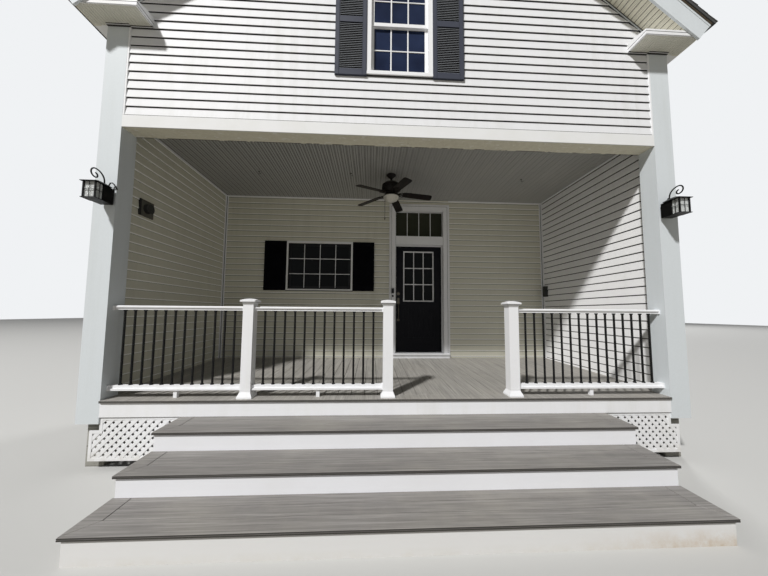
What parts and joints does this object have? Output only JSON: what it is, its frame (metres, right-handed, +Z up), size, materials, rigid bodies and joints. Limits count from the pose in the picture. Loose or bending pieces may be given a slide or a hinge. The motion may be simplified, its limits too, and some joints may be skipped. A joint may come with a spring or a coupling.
{
  "type": "front porch",
  "caption": "Inset front porch under a front gable, with wide steps, a railed deck, lattice skirts, an entry door that opens, shuttered windows, wall lanterns and a ceiling fan that turns.",
  "frame": {"origin": "centre of the footprint at ground level", "axes": "+Z up, +Y from the steps into the house, +X to the right seen from the steps"},
  "size_m": [7.095, 3.532, 7.8347],
  "materials": {
    "foundation_block": "painted block, matt",
    "framing_timber": "sawn softwood, bare",
    "white_trim": "white vinyl and composite trim, satin",
    "grey_decking": "grey composite boards with a faint grain",
    "weathered_paint": "old white paint, peeling to a beige ground",
    "white_siding": "white lapped vinyl siding, satin",
    "ceiling_grey": "grey beaded boards",
    "roof_shingle": "dark mineral shingles",
    "clear_glass": "clear float glass",
    "black_door_paint": "black paint, satin",
    "satin_nickel": "satin",
    "black_shutter": "black moulded shutters",
    "black_iron": "black powder coat",
    "fan_bronze": "dark bronze, half gloss",
    "dark_wood": "dark stained blades",
    "frosted_glass": "frosted bowl"
  },
  "bodies": {
    "house": {"foundation_sides": "foundation_block", "foundation_back": "foundation_block", "deck_piers": "foundation_block", "deck_joists": "framing_timber", "deck_rim": "white_trim", "deck_boards": "grey_decking", "step_frames": "white_trim", "treads": "grey_decking", "lattice_left": "white_trim", "lattice_right": "white_trim", "corner_posts": "white_trim", "header_beam": "weathered_paint", "side_walls": "white_siding", "back_wall_left": "white_siding", "back_wall_right": "white_siding", "back_wall_over_door": "white_siding", "door_sill": "white_trim", "porch_ceiling": "ceiling_grey", "upper_floor": "framing_timber", "gable_wall": "white_siding", "rear_gable_wall": "white_siding", "roof_slopes": "framing_timber", "ridge_board": "framing_timber", "shingles": "roof_shingle", "ridge_cap": "roof_shingle", "rake_boards": "white_trim", "rake_soffits": "white_trim", "eave_boards": "white_trim", "cornice_returns": "white_trim", "door_frame": "white_trim", "window_glass": "clear_glass", "door_hinges": "satin_nickel", "lower_window_frame": "white_trim", "upper_window_frame": "white_trim", "lower_shutters": "black_shutter", "upper_shutters": "black_shutter", "rail_posts": "white_trim", "top_rails": "white_trim", "bottom_rails": "white_trim", "balusters": "black_iron", "lanterns": "black_iron", "lantern_glass": "clear_glass", "fan_mount": "fan_bronze", "fan_light": "frosted_glass", "wall_fittings": "white_trim", "door_bell": "black_iron"},
    "door": {"entry_door": "black_door_paint", "door_glass": "clear_glass", "door_handle": "satin_nickel"},
    "fan_rotor": {"fan_hub": "fan_bronze", "fan_blades": "dark_wood"}
  },
  "joints": [
    {"name": "door_hinge", "type": "hinge", "parent": "house", "child": "door", "pos_m": [1.0865, 1.758, 1.86], "axis": [0, 0, -1], "range_deg": [0, 95]},
    {"name": "fan_spin", "type": "hinge", "parent": "house", "child": "fan_rotor", "pos_m": [0, 0.64, 3.495], "axis": [0, 0, 1], "continuous": true}
  ]
}
